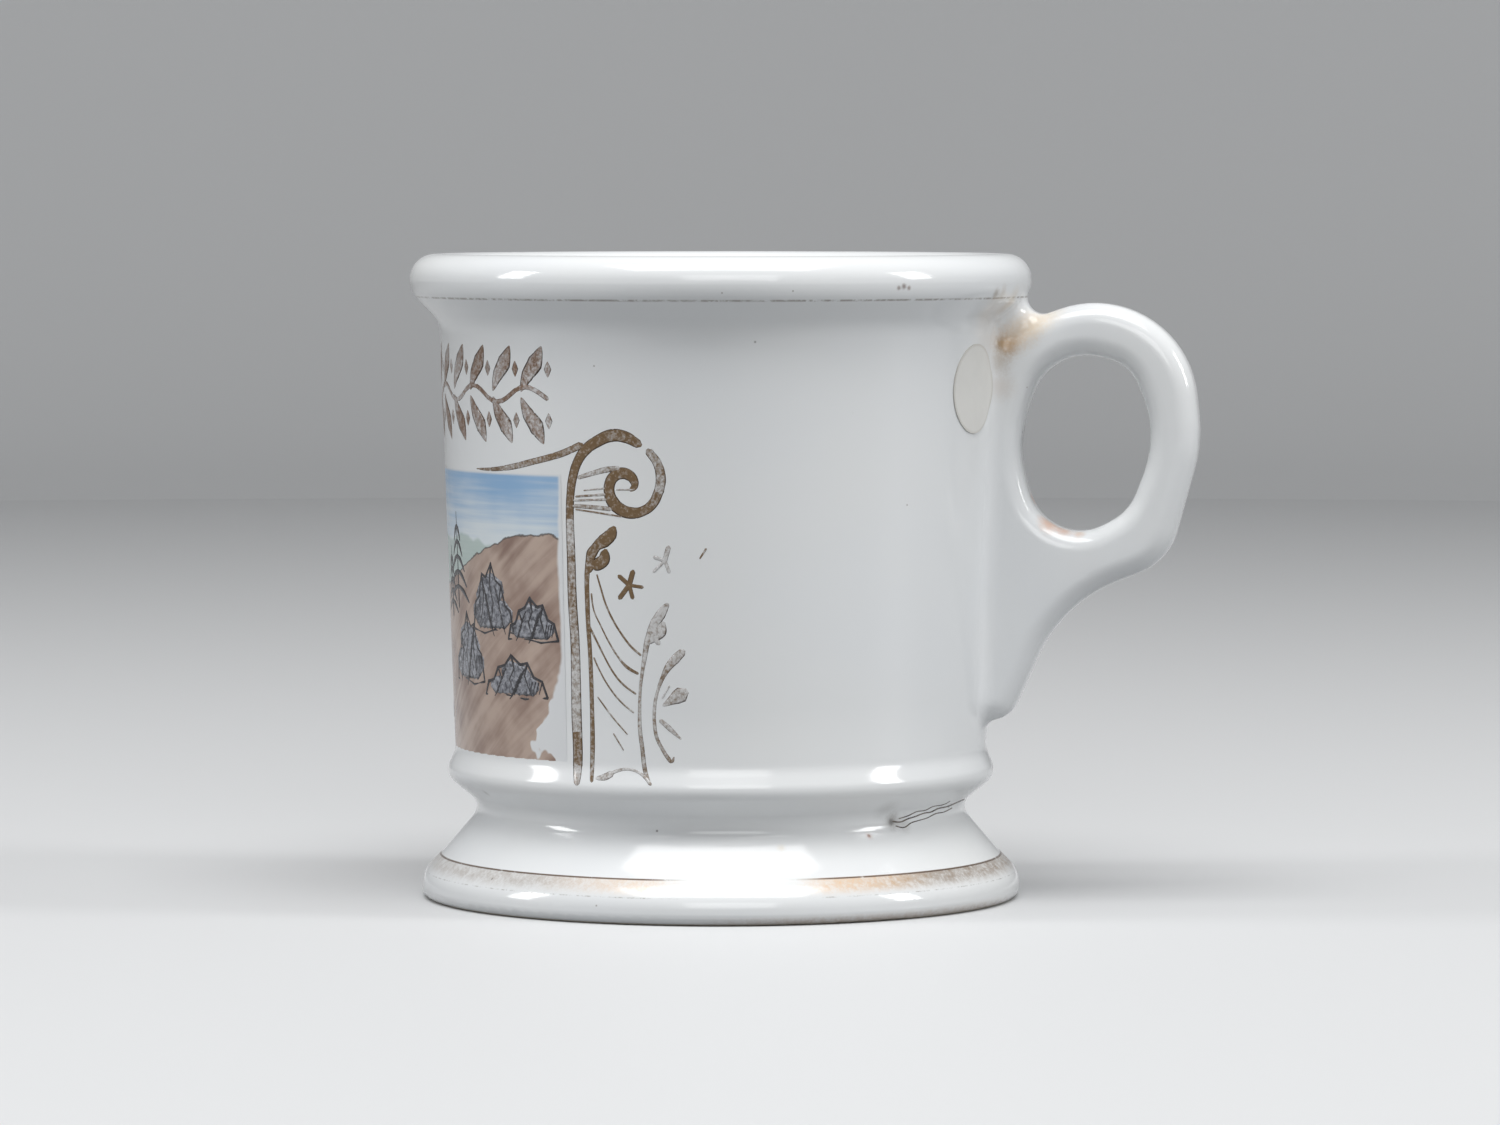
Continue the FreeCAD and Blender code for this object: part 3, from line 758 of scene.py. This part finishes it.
def fir_lines(along, up, tall):
    """Trunk and branches of a fir."""
    lines = [[(along, up, 0.5), (along + 0.1, up + 0.5 * tall, 0.4), (along, up + tall, 0.2)]]
    for number in range(5):
        y = up + (0.22 + 0.16 * number) * tall
        reach = 0.34 * tall * (1 - 0.17 * number)
        for side in (-1, 1):
            lines.append([(along, y, 0.5), (along + 0.5 * side * reach, y - 0.05 * tall, 0.8),
                          (along + side * reach, y - 0.16 * tall, 0.3)])
    return lines


rock_bodies = [brush_stroke(dab, on_panel, lift=ROCK_LIFT)
               for rock in ROCKS for dab in rock_dabs(*rock)]
dark_strokes = [brush_stroke(line, on_panel, lift=CONTOUR_LIFT, bend="VECTOR")
                for rock in ROCKS for line in rock_lines(*rock)]
dark_strokes += [brush_stroke(line, on_panel, lift=CONTOUR_LIFT)
                 for fir in FIRS for line in fir_lines(*fir)]
one_piece("painted_rocks", rock_bodies, enamel("grey overglaze enamel", "#44454D", "#A6A8B0"))
one_piece("painted_contours", dark_strokes, enamel("black overglaze enamel", "#1E1E23", "#3C3A3E"))

# %% [markdown]
# ## Crack in the glaze
# At the right of the waist the glaze is crazed: two or three hair-fine dark lines wander out of a
# grubby spot. Dirt has settled in them. They are drawn like strokes of enamel, a sixth of a
# millimetre wide and almost flush.

# %% Crack in the glaze
CRACK_LIFT = 0.012 * MM
CRACKS = [
    [(893, 821.5, 1.7), (900, 822, 1.4), (908, 818.8, 1.4), (915, 816.6, 1.3), (924, 813.2, 1.3),
     (931, 812, 1.3), (938, 808.6, 1.4), (947, 806.6, 1.3), (955, 803.4, 1.4), (964, 799.4, 1.6)],
    [(896, 826, 1.2), (904, 827.4, 1.2), (911, 823, 1.2), (919, 820.4, 1.0), (927, 818, 1.0),
     (936, 813.6, 1.2), (944, 812, 1.0), (952, 808, 1.0)],
    [(899, 818.6, 1.0), (908, 815.8, 1.2), (917, 811.6, 1.0), (925, 810.4, 1.0), (933, 806.6, 0.9),
     (943, 804.8, 1.0), (950, 801.4, 0.9)],
]
grime = enamel("dirt in crazed glaze", "#3C3630", "#73695F")
one_piece("waist_crack", [brush_stroke(points, from_photo, lift=CRACK_LIFT) for points in CRACKS],
          grime)

# %% [markdown]
# ## Glazed porcelain
# The body is white porcelain under a clear glaze a third of a millimetre thick: a very smooth,
# slightly bluish white with sharp reflections that waver a little, because glaze flows.
# The solid's loose triangles are merged in a copy, so that the light runs evenly over the rolls, and
# the copy stands for the solid.

# %% Smooth copy of the mug
MERGE_DISTANCE = 1e-6
SMOOTH_ANGLE = 35.0

choose(mug)
bpy.ops.object.duplicate()
glazed = bpy.context.object
glazed.name = "mug_glazed"
del glazed["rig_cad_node"]
bpy.ops.object.mode_set(mode="EDIT")
bpy.ops.mesh.select_all(action="SELECT")
bpy.ops.mesh.remove_doubles(threshold=MERGE_DISTANCE)
bpy.ops.object.mode_set(mode="OBJECT")
bpy.ops.object.shade_smooth_by_angle(angle=math.radians(SMOOTH_ANGLE))
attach(glazed, "root")
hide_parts("mug")
print("merged", len(mug.data.vertices), "points to", len(glazed.data.vertices))

# %% [markdown]
# ## Even gloss
# The merged triangles are irregular, and a mirror-like glaze shows that as scalloped edges on every
# reflection. Away from the handle the mug is turned, so all points at one radius and height should
# lean the same way. Each takes the average lean of its ring. Sharp edges and the handle's root keep
# their own.

# %% Even gloss
RING_WIDTH = 0.06 * MM
HANDLE_ROOT_ANGLE = 24.0

skin = glazed.data
keep_own = {index for edge in skin.edges if edge.use_edge_sharp for index in edge.vertices}
rings = KDTree(len(skin.vertices))
leans = []
for point in skin.vertices:
    spread = math.hypot(point.co.x, point.co.y)
    rings.insert((spread, point.co.z, 0.0), point.index)
    leans.append((point.normal.to_2d().dot(point.co.to_2d()) / max(spread, MM), point.normal.z))
    if point.co.x > 0 and abs(math.degrees(math.atan2(point.co.y, point.co.x))) < HANDLE_ROOT_ANGLE:
        keep_own.add(point.index)
rings.balance()
normals = []
for point in skin.vertices:
    spread = math.hypot(point.co.x, point.co.y)
    if point.index in keep_own or spread < MM:
        normals.append((0.0, 0.0, 0.0))
        continue
    ring = [index for place, index, gap in rings.find_range((spread, point.co.z, 0.0), RING_WIDTH)
            if index not in keep_own]
    out = sum(leans[index][0] for index in ring)
    rise = sum(leans[index][1] for index in ring)
    length = math.hypot(out, rise)
    normals.append((out / length * point.co.x / spread, out / length * point.co.y / spread,
                    rise / length))
skin.normals_split_custom_set_from_vertices(normals)
print("evened", len(normals) - len(keep_own), "of", len(normals), "points")

# %% [markdown]
# ## Wear and grime
# Each stain is a soft round patch at a spot that the photograph shows: tea-coloured dirt in the
# notch over the handle, orange at the edge of the finger hole, a pitted place on the rim and a grubby
# spot at the waist. A spot is found by casting the camera's ray, and the material measures the
# distance to it, so the stain stays on the mug from any side. Noise breaks its outline.

# %% Stains
STAINS = [
    # across, down, radius in mm, strength, colour
    (1001, 344, 1.6, 0.62, "#80663F"),
    (1009, 346, 2.0, 0.60, "#AC824B"),
    (1006, 342, 3.6, 0.42, "#C29A64"),
    (1000, 362, 2.4, 0.38, "#A38A66"),
    (1001, 386, 3.0, 0.22, "#BFA080"),
    (1022, 332, 3.6, 0.42, "#DDB780"),
    (1037, 322, 3.2, 0.38, "#E4C590"),
    (1052, 314, 3.0, 0.24, "#E0C394"),
    (1012, 299, 2.6, 0.34, "#D6BE98"),
    (1004, 308, 2.4, 0.26, "#C4AA8C"),
    (996, 294, 1.3, 0.60, "#8A7860"),
    (1003, 292, 1.6, 0.35, "#A08C70"),
    (1033, 499, 1.5, 0.50, "#D8935F"),
    (1049, 524, 2.4, 0.55, "#DB9863"),
    (1064, 531, 1.7, 0.50, "#CE8A58"),
    (1079, 534, 1.3, 0.40, "#D39A6C"),
    (899, 288, 0.50, 0.80, "#86736A"),
    (904, 286.4, 0.60, 0.85, "#7E6C64"),
    (909, 288, 0.50, 0.80, "#8D7A70"),
    (924, 250.8, 1.0, 0.30, "#C0895C"),
    (892, 821, 1.9, 0.60, "#77706A"),
    (891, 822, 0.8, 0.70, "#4E4742"),
    (886, 809, 2.6, 0.20, "#7C7874"),
    (903, 824, 2.0, 0.30, "#8B857F"),
    (869, 836, 0.42, 0.90, "#8A5F4C"),
    (869, 836, 0.9, 0.30, "#C79E8C"),
    (781, 848, 0.9, 0.25, "#CDB88E"),
    (657, 831, 0.24, 0.90, "#5A544E"),
    (755, 342, 0.24, 0.80, "#6E665E"),
    (594, 366, 0.20, 0.80, "#6E665E"),
    (793, 291, 0.18, 0.80, "#6E5E50"),
    (722, 293, 0.18, 0.70, "#6E5E50"),
    (949, 807, 0.26, 0.80, "#4E4742"),
    (492, 879, 0.26, 0.80, "#5E4E44"),
    (486, 793, 0.9, 0.35, "#8A8580"),
]
stain_spots = []
for across, down, size, strength, colour in STAINS:
    spot, out = seen_at(across, down)
    stain_spots.append((tuple(spot / MM), size, strength, colour))
print(len(stain_spots), "stains, the first at", [round(x, 1) for x in stain_spots[0][0]], "mm")

# %% [markdown]
# ## Glaze recipe
# Two gilt lines are drawn by height, because they run all round: a thin one in the groove under the
# rim, nearly gone, and a broad band on the foot. The band's upper edge is still crisp and dark. The
# rest is mottled tan and thinner to the left. In front the band is left out, a painted highlight of
# white glaze, and towards the sides it turns grey, painted shade.
# The bare biscuit where the foot stands is matt and creamy.

# %% Glaze recipe
BAND_LOW = 3.75
BAND_HIGH = 6.25
RIM_LINE = 86.55
# where the painted highlight on the foot band lies, just right of the side that faces the camera
BAND_HIGHLIGHT_AT = 4.0
GRIMY_AT = 36.0
BARE_FOOT = 0.35
MOTTLE_PER_MM = 0.75
GRAIN_PER_MM = 2.2
SPECKS_PER_MM = 0.11
RIPPLE_PER_MM = 0.07
GLAZE_IOR = 1.52
GLAZE_ROUGHNESS = 0.11
WORN_ROUGHNESS = 0.32
BISCUIT_ROUGHNESS = 0.75


def glaze_material():
    """White porcelain under clear glaze, with worn gilt lines, a painted highlight and painted shade
    on the foot band, stains and a bare foot.
    """
    material, tree = new_tree("clear glaze over white porcelain")
    in_mm = object_mm(tree)
    split = node(tree, "SeparateXYZ", Vector=in_mm)
    up = split.outputs["Z"]
    flat = node(tree, "VectorMath", MULTIPLY, _0=in_mm, _1=(1.0, 1.0, 0.0))
    radius = node(tree, "VectorMath", {"operation": "LENGTH"}, _0=flat)
    outward = node(tree, "VectorMath", {"operation": "NORMALIZE"}, _0=flat)
    front = node(tree, "VectorMath", {"operation": "DOT_PRODUCT"}, _0=outward,
                 _1=around(BAND_HIGHLIGHT_AT, 1.0))
    facing = front.outputs["Value"]
    clouds = node(tree, "TexNoise", Vector=in_mm, Scale=0.035, Detail=2.0)
    mottle = node(tree, "TexNoise", Vector=in_mm, Scale=MOTTLE_PER_MM, Detail=6.0, Roughness=0.8)
    grain = node(tree, "TexNoise", Vector=in_mm, Scale=GRAIN_PER_MM, Detail=4.0, Roughness=0.7)
    body = node(tree, "Mix", RGBA, Factor=clouds, A=paint("#E9ECEF"), B=paint("#EEEFEE"))

    # foot band
    above = node(tree, "MapRange", SMOOTH, Value=up, From_Min=BAND_LOW - 0.1,
                 From_Max=BAND_LOW + 1.5)
    below = node(tree, "MapRange", Value=up, From_Min=BAND_HIGH - 0.05, From_Max=BAND_HIGH + 0.08,
                 To_Min=1.0, To_Max=0.0)
    outside = node(tree, "MapRange", Value=radius.outputs["Value"], From_Min=38.5, From_Max=39.0)
    band = node(tree, "Math", MULTIPLY, _0=above, _1=below)
    band_out = node(tree, "Math", MULTIPLY, _0=band, _1=outside)
    # the band is left out in front, so white glaze shows there: a painted highlight
    off_painted_highlight = node(tree, "MapRange", SMOOTH, Value=facing, From_Min=0.945, From_Max=0.992, To_Min=1.0,
                To_Max=0.0)
    band_off_painted_highlight = node(tree, "Math", MULTIPLY, _0=band_out, _1=off_painted_highlight)
    rubbed = node(tree, "MapRange", SMOOTH, Value=mottle, From_Min=0.36, From_Max=0.62, To_Min=0.45,
                  To_Max=1.0)
    grained = node(tree, "MapRange", Value=grain, From_Min=0.35, From_Max=0.6, To_Min=0.7,
                   To_Max=1.0)
    film = node(tree, "Math", MULTIPLY, _0=rubbed, _1=grained)
    rightward = node(tree, "VectorMath", {"operation": "DOT_PRODUCT"}, _0=outward,
                     _1=around(BAND_HIGHLIGHT_AT + 90.0, 1.0))
    thin_left = node(tree, "MapRange", SMOOTH, Value=rightward.outputs["Value"], From_Min=-0.5,
                     From_Max=0.5, To_Min=0.6)
    thinned = node(tree, "Math", MULTIPLY, _0=film, _1=thin_left)
    film_band = node(tree, "Math", MULTIPLY, _0=thinned, _1=band_off_painted_highlight)
    # the band turns grey-brown towards the sides, away from the front: painted shade
    painted_side_shade = node(tree, "MapRange", SMOOTH, Value=facing, From_Min=0.95, From_Max=0.70)
    film_colour_and_side_shade = node(tree, "Mix", RGBA, Factor=painted_side_shade, A=paint("#DFBE9A"), B=paint("#988878"))
    banded = node(tree, "Mix", RGBA, Factor=film_band, A=body, B=film_colour_and_side_shade)

    # dark upper edge and grey lower edge of the band, and the line under the rim
    lined = banded
    for height, half, share, least, dark in ((BAND_HIGH - 0.08, 0.13, 0.9, 0.30, "#5B4636"),
                                             (BAND_LOW + 0.05, 0.10, 0.5, 0.48, "#847A72"),
                                             (RIM_LINE, 0.17, 0.62, 0.42, "#66523F")):
        gap = node(tree, "Math", {"operation": "SUBTRACT"}, _0=up, _1=height)
        off = node(tree, "Math", {"operation": "ABSOLUTE"}, _0=gap)
        line = node(tree, "MapRange", Value=off, From_Min=0.5 * half, From_Max=half, To_Min=share,
                    To_Max=0.0)
        broken = node(tree, "MapRange", Value=mottle, From_Min=least, From_Max=least + 0.12)
        drawn = node(tree, "Math", MULTIPLY, _0=line, _1=broken)
        drawn_out = node(tree, "Math", MULTIPLY, _0=drawn, _1=outside)
        # the band's edge lines also stop at the painted highlight in front
        left = node(tree, "Math", MULTIPLY, _0=drawn_out, _1=1.0 if height > BAND_HIGH else off_painted_highlight)
        lined = node(tree, "Mix", RGBA, Factor=left, A=lined, B=paint(dark))

    # grime where the foot meets the table
    low = node(tree, "MapRange", SMOOTH, Value=up, From_Min=0.2, From_Max=1.7, To_Min=0.7,
               To_Max=0.0)
    smeared = node(tree, "Math", MULTIPLY, _0=low, _1=rubbed)
    right = node(tree, "VectorMath", {"operation": "DOT_PRODUCT"}, _0=outward,
                 _1=around(GRIMY_AT, 1.0))
    right_side = node(tree, "MapRange", SMOOTH, Value=right.outputs["Value"], From_Min=0.72,
                      From_Max=0.93)
    foot_dirt = node(tree, "Math", MULTIPLY, _0=smeared, _1=right_side)
    grimed = node(tree, "Mix", RGBA, Factor=foot_dirt, A=lined, B=paint("#B9A38E"))

    # small brown specks, one in a few square centimetres
    cells = node(tree, "TexVoronoi", Vector=in_mm, Scale=SPECKS_PER_MM)
    speck = node(tree, "MapRange", Value=cells.outputs["Distance"], From_Min=0.010, From_Max=0.022,
                 To_Min=0.6, To_Max=0.0)
    coloured = node(tree, "Mix", RGBA, Factor=speck, A=grimed, B=paint("#7A6A5C"))

    # stains
    dirt = foot_dirt
    for spot, size, strength, stain_colour in stain_spots:
        away = node(tree, "VectorMath", {"operation": "DISTANCE"}, _0=in_mm, _1=spot)
        frayed = node(tree, "Math", MULTIPLY_ADD, _0=grain, _1=-0.6 * size,
                      _2=away.outputs["Value"])
        patch = node(tree, "MapRange", SMOOTH, Value=frayed, From_Min=-0.3 * size,
                     From_Max=0.75 * size, To_Min=strength, To_Max=0.0)
        coloured = node(tree, "Mix", RGBA, Factor=patch, A=coloured, B=paint(stain_colour))
        dirt = node(tree, "Math", {"operation": "MAXIMUM"}, _0=dirt, _1=patch)

    # bare biscuit under the foot
    bare = node(tree, "MapRange", Value=up, From_Min=BARE_FOOT - 0.1, From_Max=BARE_FOOT,
                To_Min=1.0, To_Max=0.0)
    whole = node(tree, "Mix", RGBA, Factor=bare, A=coloured, B=paint("#DCD3C4"))
    worn_gloss = node(tree, "Math", {"operation": "MAXIMUM"}, _0=dirt, _1=film_band)
    glaze_gloss = node(tree, "MapRange", Value=worn_gloss, To_Min=GLAZE_ROUGHNESS,
                       To_Max=WORN_ROUGHNESS)
    gloss = node(tree, "Mix", {"data_type": "FLOAT"}, Factor=bare, A=glaze_gloss,
                 B=BISCUIT_ROUGHNESS)
    ripple = node(tree, "TexNoise", Vector=in_mm, Scale=RIPPLE_PER_MM, Detail=1.0)
    flow = node(tree, "Bump", Strength=0.1, Distance=0.0001, Height=ripple)
    shader = node(tree, "BsdfPrincipled", Base_Color=whole, Roughness=gloss, IOR=GLAZE_IOR,
                  Normal=flow)
    node(tree, "OutputMaterial", Surface=shader)
    print("glaze recipe has", len(tree.nodes), "nodes")
    return material


dress(glazed, glaze_material())

# %% [markdown]
# ## Paper label
# A dealer's price dot, half an inch across, is stuck on the wall where the handle begins. It is thin
# uncoated paper: off-white, quite matt, with fibres a third of a millimetre long, greyer at its edge
# where dust clings to the glue. The CAD piece has the right shape, so it only gets the finish.

# %% Paper label
LABEL_ANGLE = 63.8
LABEL_UP = 73.7
LABEL_RADIUS = 6.35
LABEL_FROM_AXIS = 40.2
FIBRES_PER_MM = 3.0


def paper_material():
    """Thin uncoated paper with a dusty edge."""
    material, tree = new_tree("thin uncoated label paper")
    in_mm = object_mm(tree)
    middle = around(LABEL_ANGLE, LABEL_FROM_AXIS, LABEL_UP)
    away = node(tree, "VectorMath", {"operation": "DISTANCE"}, _0=in_mm, _1=middle)
    dusty = node(tree, "MapRange", SMOOTH, Value=away.outputs["Value"], From_Min=LABEL_RADIUS - 0.5,
                 From_Max=LABEL_RADIUS, To_Max=0.55)
    fibres = node(tree, "TexNoise", Vector=in_mm, Scale=FIBRES_PER_MM, Detail=4.0)
    blotch = node(tree, "TexNoise", Vector=in_mm, Scale=0.3, Detail=2.0)
    clean = node(tree, "Mix", RGBA, Factor=blotch, A=paint("#DDDCD8"), B=paint("#E6E5E1"))
    colour = node(tree, "Mix", RGBA, Factor=dusty, A=clean, B=paint("#BEBAB2"))
    nap = node(tree, "Bump", Strength=0.5, Distance=0.00004, Height=fibres)
    shader = node(tree, "BsdfPrincipled", Base_Color=colour, Roughness=0.62, Normal=nap)
    node(tree, "OutputMaterial", Surface=shader)
    return material


label = frame["nodes"]["paper_label"]
dress(label, paper_material())
